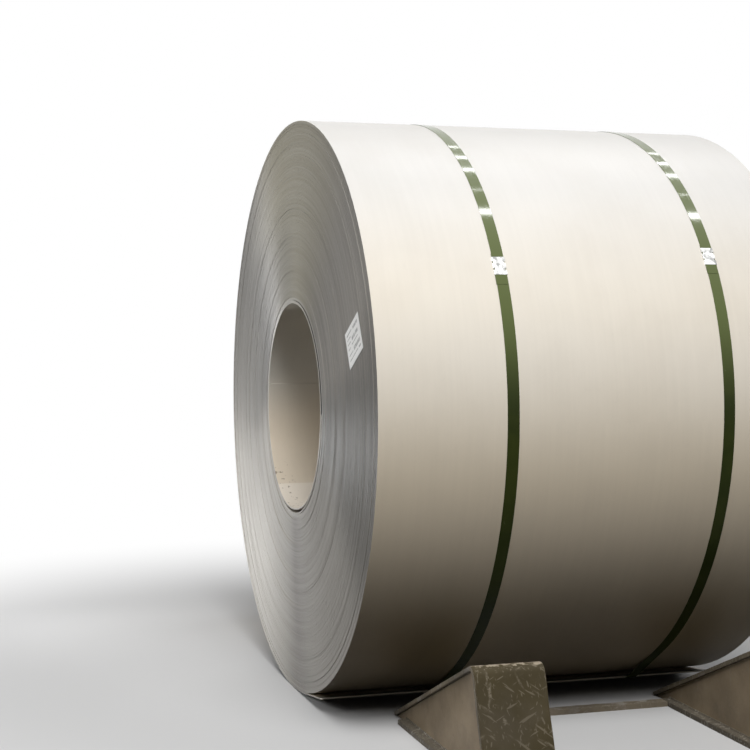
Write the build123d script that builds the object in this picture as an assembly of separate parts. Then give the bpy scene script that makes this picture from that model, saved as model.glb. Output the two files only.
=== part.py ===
from build123d import *
import math
import os

# Steel coil lying on its side between welded chocks, with two straps and a label.
# +X runs along the coil axis away from the labelled end, the tail lies on the -Y side, the floor is Z = 0.
# Sizes in millimetres, angles in degrees.

# Coil
COIL_DIAMETER = 1670.0
BORE_DIAMETER = 610.0
COIL_WIDTH = 1219.0
TURNS = 132
WRAP_TURNS = 2
# How far the last two turns stand back at either end.
WRAP_SETBACK = 1.0
# Groups of turns from the bore outwards: the share of all turns and how far the group stands back.
FRONT_GROUPS = (
    (0.015, 6.5),
    (0.025, 1.5),
    (0.070, 4.5),
    (0.090, 1.5),
    (0.095, 3.5),
    (0.085, 0.8),
    (0.085, 3.0),
    (0.070, 1.2),
    (0.290, 0.0),
    (0.065, 2.4),
    (0.055, 0.8),
    (0.040, 3.2),
)
REAR_GROUPS = (
    (0.020, 5.0),
    (0.060, 1.0),
    (0.110, 3.5),
    (0.120, 0.6),
    (0.130, 2.8),
    (0.150, 0.0),
    (0.140, 2.2),
    (0.120, 0.5),
    (0.080, 3.0),
    (0.055, 1.2),
)
# The outer end of the strip leaves the coil this far past the bottom and runs on straight.
TAIL_TAKEOFF = 9.0
TAIL_LENGTH = 182.0
# The gap behind the tail opens this many degrees past the take-off.
TAIL_ROOT = 3.0
# The inner end of the strip: where its edge lies in the bore and the arc over which the step fades out.
INNER_END_ANGLE = 10.8
INNER_FADE = 68.0

# Straps and seals
STRAP_WIDTH = 32.0
STRAP_THICKNESS = 0.9
STRAP_FRONT_INSET = 353.0
STRAP_REAR_INSET = 265.0
# Height of the seal round the coil, in degrees above the axis on the tail side.
SEAL_FRONT_ANGLE = 28.4
SEAL_REAR_ANGLE = 30.85
SEAL_LENGTH = 51.0
SEAL_THICKNESS = 1.0
SEAL_CLEARANCE = 0.2
NOTCH_WIDTH = 6.0
NOTCH_DEPTH = 4.5
# The free end of the strap under the seal, past its lower and upper ends, and its sideways offset.
OVERLAP_BELOW = 27.0
OVERLAP_ABOVE = 10.0
OVERLAP_SHIFT = 1.5

# Label
LABEL_LENGTH = 127.0
LABEL_WIDTH = 101.6
LABEL_THICKNESS = 0.4
# The middle of the label lies this far in from the outside of the coil.
LABEL_DEPTH = 170.0
LABEL_ANGLE = 18.1
LABEL_TILT = 28.4

# Chocks
CHOCK_LENGTH = 185.0
CHOCK_FRONT_INSET = 193.0
CHOCK_REAR_INSET = 46.0
# Space between the slope and the coil.
CHOCK_STAND_OFF = 74.0
CHOCK_SLOPE = 25.7
CHOCK_BACK_LEAN = 66.0
CHOCK_PEAK = 280.0
CHOCK_TIP_HEIGHT = 9.0
CHOCK_PLATE = 12.0
CHOCK_BEND = 27.0
END_PLATE_INSET = 8.0
RUNNER_OVERHANG = 19.0
RUNNER_WIDTH = 36.0
RUNNER_HEIGHT = 14.0
# The runners and the tie start this far outwards of the chock tip.
RUNNER_START = 92.0
TIE_WIDTH = 35.0

# Sizes that follow
COIL_RADIUS = COIL_DIAMETER / 2
BORE_RADIUS = BORE_DIAMETER / 2
TURN_PITCH = (COIL_RADIUS - BORE_RADIUS) / TURNS
CORE_RADIUS = COIL_RADIUS - WRAP_TURNS * TURN_PITCH
AXIS_HEIGHT = COIL_RADIUS + STRAP_THICKNESS
TAKEOFF_ANGLE = 270.0 - TAIL_TAKEOFF
QUARTER_TURN = 90.0
HALF_TURN = 180.0
FULL_TURN = 360.0
# Offset between the centres of the two half turns that make the last turn a spiral, and their radii.
SPIRAL_SHIFT = TURN_PITCH / 4
FIRST_HALF_RADIUS = COIL_RADIUS - 3 * SPIRAL_SHIFT
SECOND_HALF_RADIUS = COIL_RADIUS - SPIRAL_SHIFT
# The two crimps of a seal lie this far from its middle.
CRIMP_PLACE = SEAL_LENGTH / 5


def polar(radius, angle):
    """Point at a radius and an angle from +Y towards +Z, in the end plane."""
    turn = math.radians(angle)
    return Vector(radius * math.cos(turn), radius * math.sin(turn))


def end_plane(x):
    """Plane across the coil axis at x: its own x and y are the row's Y and Z above the axis."""
    return Plane(origin=(x, 0, AXIS_HEIGHT), x_dir=(0, 1, 0), z_dir=(1, 0, 0))


def floor_plane(x, side):
    """Plane across the coil axis at x with its x pointing outwards on the given side (-1 or 1)."""
    return Plane(origin=(x, 0, 0), x_dir=(0, side, 0), z_dir=(side, 0, 0))


def front_x(inset):
    """Place along the coil measured from its labelled end."""
    return inset - COIL_WIDTH / 2


def rear_x(inset):
    """Place along the coil measured from its plain end."""
    return COIL_WIDTH / 2 - inset


def group_steps(groups):
    """Radius and setback at both edges of each group of turns, from the bore outwards."""
    total = sum(share for share, _ in groups)
    radius = BORE_RADIUS
    steps = []
    for share, setback in groups:
        outer = radius + (CORE_RADIUS - BORE_RADIUS) * share / total
        steps.append((radius, setback))
        steps.append((outer, setback))
        radius = outer
    return steps


def core():
    """All turns but the last two, turned about the axis with the steps on both ends."""
    front = [(setback - COIL_WIDTH / 2, radius) for radius, setback in group_steps(FRONT_GROUPS)]
    rear = [(COIL_WIDTH / 2 - setback, radius) for radius, setback in group_steps(REAR_GROUPS)]
    outline = Polyline(*front, *reversed(rear), close=True)
    turned = revolve(make_face(Plane.XZ * outline), axis=Axis.X, revolution_arc=FULL_TURN)
    return Pos(0, 0, AXIS_HEIGHT) * turned


def half_turns(extra, start):
    """The two arcs of the last turn, grown by extra, from the start angle round to the take-off."""
    far = TAKEOFF_ANGLE - HALF_TURN
    first_centre = polar(SPIRAL_SHIFT, far)
    second_centre = polar(SPIRAL_SHIFT, TAKEOFF_ANGLE)
    first = CenterArc(first_centre, FIRST_HALF_RADIUS + extra, start, far - start)
    second = CenterArc(second_centre, SECOND_HALF_RADIUS + extra, far, -HALF_TURN)
    return first, second


def tail_end(offset):
    """Outer corner of the tail's end, moved out from the tail by offset."""
    along = polar(1, TAKEOFF_ANGLE - QUARTER_TURN)
    return polar(COIL_RADIUS + offset, TAKEOFF_ANGLE) + along * TAIL_LENGTH


def wrap():
    """The last two turns, the outermost a spiral that runs out into the straight tail."""
    first, second = half_turns(0, TAKEOFF_ANGLE - TAIL_ROOT)
    along = polar(1, TAKEOFF_ANGLE - QUARTER_TURN)
    root_run = (COIL_RADIUS - TURN_PITCH) * math.tan(math.radians(TAIL_ROOT))
    root = polar(COIL_RADIUS - TURN_PITCH, TAKEOFF_ANGLE) + along * root_run
    points = (second @ 1, tail_end(0), tail_end(-TURN_PITCH), root, first @ 0)
    outline = make_face([first, second, Polyline(*points)])
    ring = outline - Circle(CORE_RADIUS)
    width = COIL_WIDTH - 2 * WRAP_SETBACK
    return extrude(end_plane(-width / 2) * ring, width)


def inner_step():
    """Cut in the bore where the inner end of the strip leaves a step that fades out."""
    start = polar(BORE_RADIUS, INNER_END_ANGLE + INNER_FADE)
    middle = polar(BORE_RADIUS + TURN_PITCH / 2, INNER_END_ANGLE + INNER_FADE / 2)
    end = polar(BORE_RADIUS + TURN_PITCH, INNER_END_ANGLE)
    inside = polar(BORE_RADIUS - TURN_PITCH, INNER_END_ANGLE)
    above = polar(BORE_RADIUS - TURN_PITCH, INNER_END_ANGLE + INNER_FADE)
    within = polar(BORE_RADIUS - TURN_PITCH, INNER_END_ANGLE + INNER_FADE / 2)
    edges = (ThreePointArc(start, middle, end), Line(end, inside), ThreePointArc(inside, within, above))
    area = make_face([*edges, Line(above, start)])
    return extrude(end_plane(-COIL_WIDTH / 2) * area, COIL_WIDTH)


def coil():
    """The whole coil as one solid."""
    return core() + wrap() - inner_step()


def strap_outline(extra):
    """Closed line of a strap drawn tight over the coil and the end of its tail, grown by extra."""
    corner = tail_end(0)
    centre = polar(SPIRAL_SHIFT, TAKEOFF_ANGLE - HALF_TURN)
    reach = corner - centre
    touch = math.degrees(math.acos(FIRST_HALF_RADIUS / reach.length))
    leave = math.degrees(math.atan2(reach.Y, reach.X)) % FULL_TURN - touch
    first, second = half_turns(extra, leave)
    tail_corner = tail_end(extra)
    if extra == 0:
        return make_face([first, second, Line(second @ 1, corner), Line(corner, first @ 0)])
    lifted = corner + polar(extra, leave)
    bend = CenterArc(corner, extra, leave, TAKEOFF_ANGLE - leave)
    return make_face([first, second, Line(second @ 1, tail_corner), bend, Line(lifted, first @ 0)])


def arc_band(inner, outer, low, high):
    """Band between two distances above the coil surface and two angles above the axis, tail side."""
    centre = polar(SPIRAL_SHIFT, TAKEOFF_ANGLE - HALF_TURN)
    start = HALF_TURN - high
    inside = CenterArc(centre, FIRST_HALF_RADIUS + inner, start, high - low)
    outside = CenterArc(centre, FIRST_HALF_RADIUS + outer, start, high - low)
    sides = (Line(inside @ 0, outside @ 0), Line(inside @ 1, outside @ 1))
    return make_face([inside, outside, *sides])


def arc_degrees(length):
    """Angle that a length takes up on the coil surface."""
    return math.degrees(length / COIL_RADIUS)


def strap(x, seal_angle):
    """Strap round the coil at x with its free end lying over it below the seal."""
    loop = strap_outline(STRAP_THICKNESS) - strap_outline(0)
    low = seal_angle - arc_degrees(SEAL_LENGTH / 2 + OVERLAP_BELOW)
    high = seal_angle + arc_degrees(SEAL_LENGTH / 2 + OVERLAP_ABOVE)
    free_end = arc_band(STRAP_THICKNESS, 2 * STRAP_THICKNESS, low, high)
    start = x - STRAP_WIDTH / 2
    band = extrude(end_plane(start) * loop, STRAP_WIDTH)
    return band + extrude(end_plane(start - OVERLAP_SHIFT) * free_end, STRAP_WIDTH)


def seal(x, seal_angle):
    """Seal folded over both layers of the strap, notched twice in each edge."""
    half = arc_degrees(SEAL_LENGTH / 2)
    stack = 2 * STRAP_THICKNESS
    inner_width = STRAP_WIDTH + OVERLAP_SHIFT + 2 * SEAL_CLEARANCE
    width = inner_width + 2 * SEAL_THICKNESS
    start = x - OVERLAP_SHIFT / 2 - width / 2
    outer = arc_band(0, stack + SEAL_THICKNESS, seal_angle - half, seal_angle + half)
    inner = arc_band(-SEAL_THICKNESS, stack, seal_angle - 2 * half, seal_angle + 2 * half)
    body = extrude(end_plane(start) * outer, width)
    body -= extrude(end_plane(start + SEAL_THICKNESS) * inner, inner_width)
    notch_half = arc_degrees(NOTCH_WIDTH / 2)
    above = stack + 2 * SEAL_THICKNESS
    for place in (-CRIMP_PLACE, CRIMP_PLACE):
        middle = seal_angle + arc_degrees(place)
        notch = arc_band(-SEAL_THICKNESS, above, middle - notch_half, middle + notch_half)
        body -= extrude(end_plane(start) * notch, NOTCH_DEPTH)
        body -= extrude(end_plane(start + width - NOTCH_DEPTH) * notch, NOTCH_DEPTH)
    return body


def label():
    """Paper label on the labelled end."""
    centre = polar(COIL_RADIUS - LABEL_DEPTH, HALF_TURN - LABEL_ANGLE)
    place = Pos(-COIL_WIDTH / 2 - LABEL_THICKNESS / 2, centre.X, AXIS_HEIGHT + centre.Y)
    return place * Rot(-LABEL_TILT, 0, 0) * Box(LABEL_THICKNESS, LABEL_LENGTH, LABEL_WIDTH)


def chock_tip():
    """Distance of the chock tip from the middle of the coil so that the slope keeps its space."""
    slope = math.radians(CHOCK_SLOPE)
    level = (AXIS_HEIGHT - CHOCK_TIP_HEIGHT) * math.cos(slope)
    return (COIL_RADIUS + CHOCK_STAND_OFF - level) / math.sin(slope)


def chock_peak():
    """Sharp corner where the lines of the slope and the back meet."""
    rise = CHOCK_PEAK - CHOCK_TIP_HEIGHT
    return Vector(chock_tip() + rise / math.tan(math.radians(CHOCK_SLOPE)), CHOCK_PEAK)


def chock_foot(inset):
    """Where the back line, moved in by inset, meets the floor."""
    lean = math.radians(CHOCK_BACK_LEAN)
    return chock_peak().X + CHOCK_PEAK / math.tan(lean) - inset / math.sin(lean)


def chock_outline(inset):
    """Closed outline of the chock seen from its end, with the bent plate moved in by inset."""
    slope = math.radians(CHOCK_SLOPE)
    half_bend = math.radians(HALF_TURN - CHOCK_SLOPE - CHOCK_BACK_LEAN) / 2
    inwards = (CHOCK_BACK_LEAN - CHOCK_SLOPE) / 2 - QUARTER_TURN
    peak = chock_peak() + polar(inset / math.sin(half_bend), inwards)
    foot = Vector(chock_foot(inset), 0)
    tip_height = CHOCK_TIP_HEIGHT - inset / math.cos(slope)
    if tip_height > 0:
        tip = Vector(chock_tip(), tip_height)
        base = Polyline(foot, Vector(tip.X, 0), tip)
    else:
        tip = Vector(chock_tip() - tip_height / math.tan(slope), 0)
        base = Line(foot, tip)
    bent = FilletPolyline(tip, peak, foot, radius=CHOCK_BEND - inset)
    return make_face([bent, base])


def runners(x, side):
    """The two runners under the ends of a chock that starts at x."""
    start = chock_tip() + RUNNER_START
    length = chock_foot(0) - start
    size = (RUNNER_WIDTH, length, RUNNER_HEIGHT)
    places = (x - RUNNER_OVERHANG, x + CHOCK_LENGTH + RUNNER_OVERHANG - RUNNER_WIDTH)
    bars = [Pos(place, side * (start + length / 2), 0) for place in places]
    return [bar * Box(*size, align=(Align.MIN, Align.CENTER, Align.MIN)) for bar in bars]


def chock(x, side):
    """Welded chock from x along +X on one side: bent plate, two end plates and two runners."""
    start = x if side > 0 else x + CHOCK_LENGTH
    skin = chock_outline(0) - chock_outline(CHOCK_PLATE)
    body = extrude(floor_plane(start, side) * skin, CHOCK_LENGTH)
    inside = chock_outline(CHOCK_PLATE)
    for place in (END_PLATE_INSET, CHOCK_LENGTH - END_PLATE_INSET - CHOCK_PLATE):
        body += extrude(floor_plane(start + side * place, side) * inside, CHOCK_PLATE)
    for runner in runners(x, side):
        body += runner
    return body


def tie(side):
    """Flat bar on the floor between the two chocks of one side."""
    start = front_x(CHOCK_FRONT_INSET) + CHOCK_LENGTH + RUNNER_OVERHANG
    end = rear_x(CHOCK_REAR_INSET) - CHOCK_LENGTH - RUNNER_OVERHANG
    middle = side * (chock_tip() + RUNNER_START + TIE_WIDTH / 2)
    place = Pos(start, middle, 0)
    return place * Box(end - start, TIE_WIDTH, RUNNER_HEIGHT, align=(Align.MIN, Align.CENTER, Align.MIN))


def build():
    """All pieces by node name."""
    front_strap = front_x(STRAP_FRONT_INSET)
    rear_strap = rear_x(STRAP_REAR_INSET)
    front_chock = front_x(CHOCK_FRONT_INSET)
    rear_chock = rear_x(CHOCK_REAR_INSET) - CHOCK_LENGTH
    pieces = {
        "coil": coil(),
        "strap_front": strap(front_strap, SEAL_FRONT_ANGLE),
        "strap_rear": strap(rear_strap, SEAL_REAR_ANGLE),
        "seal_front": seal(front_strap, SEAL_FRONT_ANGLE),
        "seal_rear": seal(rear_strap, SEAL_REAR_ANGLE),
        "label": label(),
    }
    for name, side in (("near", -1), ("far", 1)):
        pieces[f"chock_{name}_front"] = chock(front_chock, side)
        pieces[f"chock_{name}_rear"] = chock(rear_chock, side)
        pieces[f"tie_{name}"] = tie(side)
    return pieces


os.makedirs("parts", exist_ok=True)
for node, piece in build().items():
    export_step(piece, f"parts/{node}.step")
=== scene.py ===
import logging
import math
import random
from dataclasses import dataclass
from enum import Enum
from functools import cache, reduce
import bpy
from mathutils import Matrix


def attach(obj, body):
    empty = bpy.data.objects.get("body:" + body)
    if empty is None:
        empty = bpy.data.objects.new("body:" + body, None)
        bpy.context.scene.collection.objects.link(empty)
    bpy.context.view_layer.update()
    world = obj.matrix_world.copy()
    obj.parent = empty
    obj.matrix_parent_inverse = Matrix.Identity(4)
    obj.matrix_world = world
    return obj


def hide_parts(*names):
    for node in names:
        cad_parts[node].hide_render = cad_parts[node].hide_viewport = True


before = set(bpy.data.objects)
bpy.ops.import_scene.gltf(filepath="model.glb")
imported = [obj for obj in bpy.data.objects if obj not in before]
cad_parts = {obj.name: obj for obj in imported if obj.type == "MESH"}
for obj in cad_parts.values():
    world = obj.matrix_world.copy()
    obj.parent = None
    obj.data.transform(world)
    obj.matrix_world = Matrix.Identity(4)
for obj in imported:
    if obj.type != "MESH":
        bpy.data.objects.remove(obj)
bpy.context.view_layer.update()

from types import SimpleNamespace
from typing import Callable, Sequence

import bmesh
import bpy
from bpy.types import ID, Material, Mesh, Node, NodeSocket, NodeTree, Object
from mathutils import Matrix, Vector

# A strapped steel coil on its side between welded chocks. Metres, row frame: +X along the coil axis
# away from the labelled end, -Y the side of the loose strip end, floor at Z = 0.

LOG = logging.getLogger("steel_coil")
MM = 0.001
Point2 = tuple[float, float]
Point3 = tuple[float, float, float]
Colour = tuple[float, float, float]
Shape = tuple[list, list]
Path = list[tuple[Vector, Vector]]
Value = object


class Side(Enum):
    """The two sides of the coil along Y."""

    NEAR = -1
    FAR = 1


class Row(Enum):
    """The two places along the coil for a strap, seal or chock."""

    FRONT = "front"
    REAR = "rear"


@dataclass(frozen=True)
class CoilSizes:
    """Sizes of the wound strip that the other pieces are fitted to, angles in degrees."""

    radius: float = 835 * MM
    bore: float = 305 * MM
    width: float = 1219 * MM
    turns: float = 131.305
    inner_end: float = 10.8
    takeoff: float = 261.0
    tail: float = 182 * MM
    strap: float = 0.9 * MM

    @property
    def pitch(self) -> float:
        """Radial growth of one turn."""
        return (self.radius - self.bore) / (self.turns + 1)

    @property
    def axis_height(self) -> float:
        """Height of the coil axis above the floor."""
        return self.radius + self.strap

    def surface(self, angle: float) -> float:
        """Radius of the outside of the last turn at an angle."""
        back = (angle - (self.takeoff - 360)) % 360
        return self.radius - self.pitch * back / 360


COIL = CoilSizes()


def end_point(radius: float, angle: float) -> Point2:
    """Row Y and Z of a point at a radius and an angle in degrees from +Y towards +Z."""
    turn = math.radians(angle)
    return radius * math.cos(turn), COIL.axis_height + radius * math.sin(turn)


def outwards(angle: float) -> Vector:
    """Direction away from the coil axis at an angle in degrees from +Y towards +Z."""
    return Vector((0, math.cos(math.radians(angle)), math.sin(math.radians(angle))))


def spaced(start: float, end: float, steps: int) -> list[float]:
    """Values at even steps from start to end."""
    return [start + (end - start) * i / steps for i in range(steps + 1)]


# Node trees


def adds_math(operation: str, swapped: bool = False) -> Callable:
    """Method of a field that adds a Math node.

    Args:
        operation: The node's operation.
        swapped: Whether the field comes after the other value.

    Returns:
        The method.
    """
    def method(field: "Field", *others: Value) -> "Field":
        """Add the node."""
        values = (*others, field) if swapped else (field, *others)
        return field.graph.call("ShaderNodeMath", *values, operation=operation)
    return method


class Field:
    """An output of a node, on which plain arithmetic and named methods add Math nodes."""

    __add__ = __radd__ = adds_math("ADD")
    __mul__ = __rmul__ = adds_math("MULTIPLY")
    __sub__ = adds_math("SUBTRACT")
    __rsub__ = adds_math("SUBTRACT", swapped=True)
    __truediv__ = adds_math("DIVIDE")
    __mod__ = adds_math("MODULO")
    __lt__ = adds_math("LESS_THAN")
    __gt__ = adds_math("GREATER_THAN")
    __abs__ = adds_math("ABSOLUTE")
    most = adds_math("MAXIMUM")
    least = adds_math("MINIMUM")
    near = adds_math("COMPARE")
    floor = adds_math("FLOOR")
    round = adds_math("ROUND")
    root = adds_math("SQRT")
    sine = adds_math("SINE")
    cosine = adds_math("COSINE")
    arctan2 = adds_math("ARCTAN2")

    def __init__(self, graph: "Graph", socket: NodeSocket) -> None:
        """Hold an output socket of the graph's tree."""
        self.graph = graph
        self.socket = socket

    def fit(self, low: Value, high: Value, to_low: float = 0.0, to_high: float = 1.0) -> "Field":
        """This moved softly from one range to another and kept inside it."""
        settings = {"clamp": True, "interpolation_type": "SMOOTHSTEP"}
        return self.graph.call("ShaderNodeMapRange", self, low, high, to_low, to_high, **settings)

    def parts(self) -> list["Field"]:
        """The three components of this vector."""
        return self.graph.outputs(self.graph.add("ShaderNodeSeparateXYZ", self))


@dataclass(frozen=True)
class Tone:
    """A colour that comes in while a value runs from start to full, up to a share."""

    colour: Colour
    start: float = 0.0
    full: float = 1.0
    share: float = 1.0


class Graph:
    """A node tree under construction, with short ways to add nodes and links."""

    def __init__(self, tree: NodeTree) -> None:
        """Start on a tree that the nodes are added to."""
        self.tree = tree

    def feed(self, node: Node, *values: Value, **named: Value) -> Node:
        """Fill in a node.

        Args:
            node: The node.
            values: Fields or plain values for its first inputs in order, None where one stays.
            named: Properties in small letters, inputs with a capital and with _ for a space.

        Returns:
            The node.
        """
        inputs = dict(enumerate(values))
        for name, value in named.items():
            if name.islower():
                setattr(node, name, value)
            else:
                inputs[name.replace("_", " ")] = value
        for name, value in inputs.items():
            if isinstance(value, Field):
                self.tree.links.new(value.socket, node.inputs[name])
            elif value is not None:
                node.inputs[name].default_value = value
        return node

    def add(self, kind: str, *values: Value, **named: Value) -> Node:
        """Add a node of a kind and fill it in."""
        return self.feed(self.tree.nodes.new(kind), *values, **named)

    def call(self, kind: str, *values: Value, output: Value = 0, **named: Value) -> Field:
        """Add a node, filled in, and give one of its outputs."""
        return Field(self, self.add(kind, *values, **named).outputs[output])

    def outputs(self, node: Node) -> list[Field]:
        """All outputs of a node."""
        return [Field(self, output) for output in node.outputs]

    def group(self, tree: NodeTree, **inputs: Value) -> list[Field]:
        """Put a shared group into the tree and give its outputs."""
        titled = {name.title(): value for name, value in inputs.items()}
        return self.outputs(self.add("ShaderNodeGroup", node_tree=tree, **titled))

    def joined(self, *parts: Value) -> Field:
        """Vector of three components."""
        return self.call("ShaderNodeCombineXYZ", *parts)

    def mix(self, share: Value, *colours: Value, blend: str = "MIX") -> Field:
        """Two colours mixed.

        Args:
            share: Share of the second.
            colours: The two colours.
            blend: How they are mixed.

        Returns:
            The mixed colour.
        """
        pair = [(*colour, 1) if isinstance(colour, tuple) else colour for colour in colours]
        values = (share, *[None] * 5, *pair)
        return self.call("ShaderNodeMix", *values, output=2, data_type="RGBA", blend_type=blend)

    def dim(self, colour: Value, grey: Field) -> Field:
        """A colour multiplied by a grey."""
        shade = self.call("ShaderNodeCombineColor", grey, grey, grey)
        return self.mix(1.0, colour, shade, blend="MULTIPLY")

    def lay(self, colour: Value, *coats: tuple) -> Field:
        """Lay tones over a colour in order.

        Args:
            colour: What they are laid over.
            coats: For each coat its tone, the value that it follows and, where it has one, a mask.

        Returns:
            The colour with the coats.
        """
        for tone, value, *mask in coats:
            share = value.fit(tone.start, tone.full, 0.0, tone.share)
            colour = self.mix(share * mask[0] if mask else share, colour, tone.colour)
        return colour

    def noise(self, where: Value, scale: Value, detail: float = 3.0, rough: float = 0.55) -> Field:
        """Noise at a place."""
        return self.call("ShaderNodeTexNoise", Vector=where, Scale=scale, Detail=detail, Roughness=rough)

    def noise_along(self, value: Value, scale: float, detail: float) -> Field:
        """Noise along a single value."""
        return self.call("ShaderNodeTexNoise", noise_dimensions="1D", W=value, Scale=scale, Detail=detail)

    def bump(self, height: Field, distance: float, strength: float) -> Field:
        """Normal from a height."""
        return self.call("ShaderNodeBump", Height=height, Distance=distance, Strength=strength)


def title(name: str) -> str:
    """Title of a group's socket from its name in the code."""
    return name.replace("_", " ").title()


def group_tree(name: str, outputs: Sequence[str], **inputs: Value) -> tuple[Graph, SimpleNamespace, Node]:
    """Start a node group, for geometry where that is its output and for shaders otherwise.

    Args:
        name: The group's name.
        outputs: Names of its outputs, numbers in a shader group.
        inputs: Kind of each input's socket, or the default of a plain number.

    Returns:
        The graph, its inputs by name and its output node.
    """
    geometry = "Geometry" in outputs
    tree = bpy.data.node_groups.new(name, "GeometryNodeTree" if geometry else "ShaderNodeTree")
    for key, wanted in inputs.items():
        kind = "Float" if isinstance(wanted, float) else wanted
        socket = tree.interface.new_socket(name=title(key), in_out="INPUT", socket_type="NodeSocket" + kind)
        if isinstance(wanted, float):
            socket.default_value = wanted
    for key in outputs:
        kind = "NodeSocketGeometry" if geometry else "NodeSocketFloat"
        tree.interface.new_socket(name=key, in_out="OUTPUT", socket_type=kind)
    graph = Graph(tree)
    given = graph.outputs(graph.add("NodeGroupInput"))
    return graph, SimpleNamespace(**dict(zip(inputs, given))), graph.add("NodeGroupOutput")


# Shader groups


@cache
def turn_lines_group() -> NodeTree:
    """Group that tells the turns on the coil's ends apart.

    Returns:
        A tree that gives a tone for each turn, drifting along the strip, and broad bands of turns.
    """
    graph, given, wanted = group_tree("Turn Lines", ("Turn Tone", "Band Tone"), turn="Float")
    tones = [graph.noise_along(given.turn, *look).fit(0.3, 0.7) for look in ((1.9, 1.0), (0.14, 2.0))]
    graph.feed(wanted, *tones)
    return graph.tree


@cache
def scuffs_group() -> NodeTree:
    """Group of scuffs and scratches for worn metal.

    Returns:
        A tree that gives a mask of patches and a mask of thin lines.
    """
    sockets = {"vector": "Vector", "patch_scale": 9.0, "line_scale": 30.0, "amount": 0.5}
    graph, given, wanted = group_tree("Scuffs", ("Patches", "Lines"), **sockets)
    patches = graph.noise(given.vector, given.patch_scale, 6.0, 0.62)
    worn = (patches - (0.72 - given.amount * 0.25)) * 9.0
    strokes, scratches = [], []
    turns = (0.1, 0.5, 0.0), (0.0, -0.65, 0.1), (0.1, 1.25, 0.0), (0.0, -1.35, 0.0)
    for number, turn in enumerate(turns):
        aimed = graph.call("ShaderNodeMapping", Vector=given.vector, Rotation=turn, Location=(number, 0, 0))
        for found, thin, fine in ((strokes, 0.10, 1.0), (scratches, 0.03, 2.6)):
            drawn = graph.call("ShaderNodeVectorMath", aimed, (thin, 1.0, 1.0), operation="MULTIPLY")
            found.append(graph.noise(drawn, given.line_scale * fine, 1.5, 0.5))
    rubbing = graph.noise(given.vector, 130.0).fit(0.35, 0.62, 0.15, 1.0)
    rubbed = reduce(Field.most, strokes).fit(0.67, 0.77) * rubbing
    scratched = reduce(Field.most, scratches).fit(0.665, 0.70, 0.0, 0.55)
    graph.feed(wanted, worn.fit(0.0, 1.0), rubbed.most(scratched))
    return graph.tree


@cache
def grime_group() -> NodeTree:
    """Group of soft dirt.

    Returns:
        A tree that gives a mask of dirt in clouds and specks.
    """
    graph, given, wanted = group_tree("Grime", ("Dirt",), vector="Vector", scale=3.0, amount=0.5)
    clouds = graph.noise(given.vector, given.scale, 5.0, 0.6).fit(0.42, 0.7)
    specks = graph.noise(given.vector, 60.0, 2.0).fit(0.62, 0.72, 0.0, 0.4)
    graph.feed(wanted, (clouds + specks) * given.amount)
    return graph.tree


# Finishes


class Place:
    """Where a point of a surface lies, counted from the coil axis."""

    def __init__(self, graph: Graph) -> None:
        """Read the Object coordinates and work out the round ones.

        Args:
            graph: The graph that they are used in.
        """
        here = graph.call("ShaderNodeTexCoord", output="Object")
        self.vector = graph.call("ShaderNodeMapping", Vector=here, Location=(0, 0, -COIL.axis_height))
        self.across, self.out, self.up = self.vector.parts()
        self.radius = (self.out * self.out + self.up * self.up).root()
        self.angle = self.up.arctan2(self.out)
        self.height = self.angle.sine()


@dataclass(frozen=True)
class Finish:
    """Base of the finishes: a name, a Principled shader and its plain values."""

    name: str = "finish"
    roughness: float = 0.5
    metallic: float = 0.0
    specular: float = 0.5

    def paint(self, graph: Graph) -> dict[str, Value]:
        """Inputs of the shader that a finish sets or varies over the surface."""
        raise NotImplementedError

    @cache
    def build(self) -> Material:
        """Make the material, once.

        Returns:
            The finished material.
        """
        material = bpy.data.materials.new(self.name)
        material.use_nodes = True
        graph = Graph(material.node_tree)
        shader = material.node_tree.nodes["Principled BSDF"]
        graph.feed(shader, Roughness=self.roughness, Metallic=self.metallic)
        graph.feed(shader, Specular_IOR_Level=self.specular, **self.paint(graph))
        return material


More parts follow.
